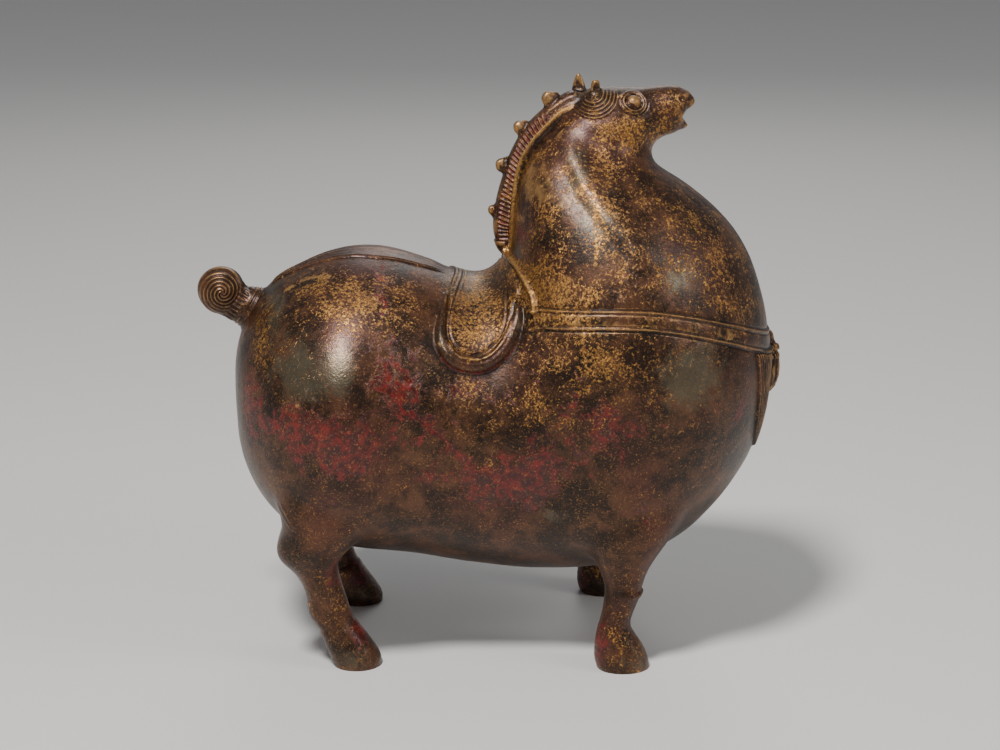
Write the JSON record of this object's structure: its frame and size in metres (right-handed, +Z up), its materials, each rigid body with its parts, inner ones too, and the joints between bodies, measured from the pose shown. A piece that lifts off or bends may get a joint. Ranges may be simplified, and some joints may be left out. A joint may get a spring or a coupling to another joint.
{
  "type": "cast bronze horse figure",
  "caption": "Round-bodied cast bronze horse standing on short legs, with a small raised head, clipped mane, saddle, straps and a curled tail.",
  "frame": {"origin": "on the ground under the middle of the casting's outer box", "axes": "+X towards the horse's head and chest, +Y towards its left side, +Z up"},
  "size_m": [0.3058, 0.1696, 0.3],
  "materials": {
    "bronze": "cast bronze under worn dark brown and red lacquer with flecks of gilding"
  },
  "bodies": {
    "root": {"horse": "bronze"}
  },
  "joints": []
}
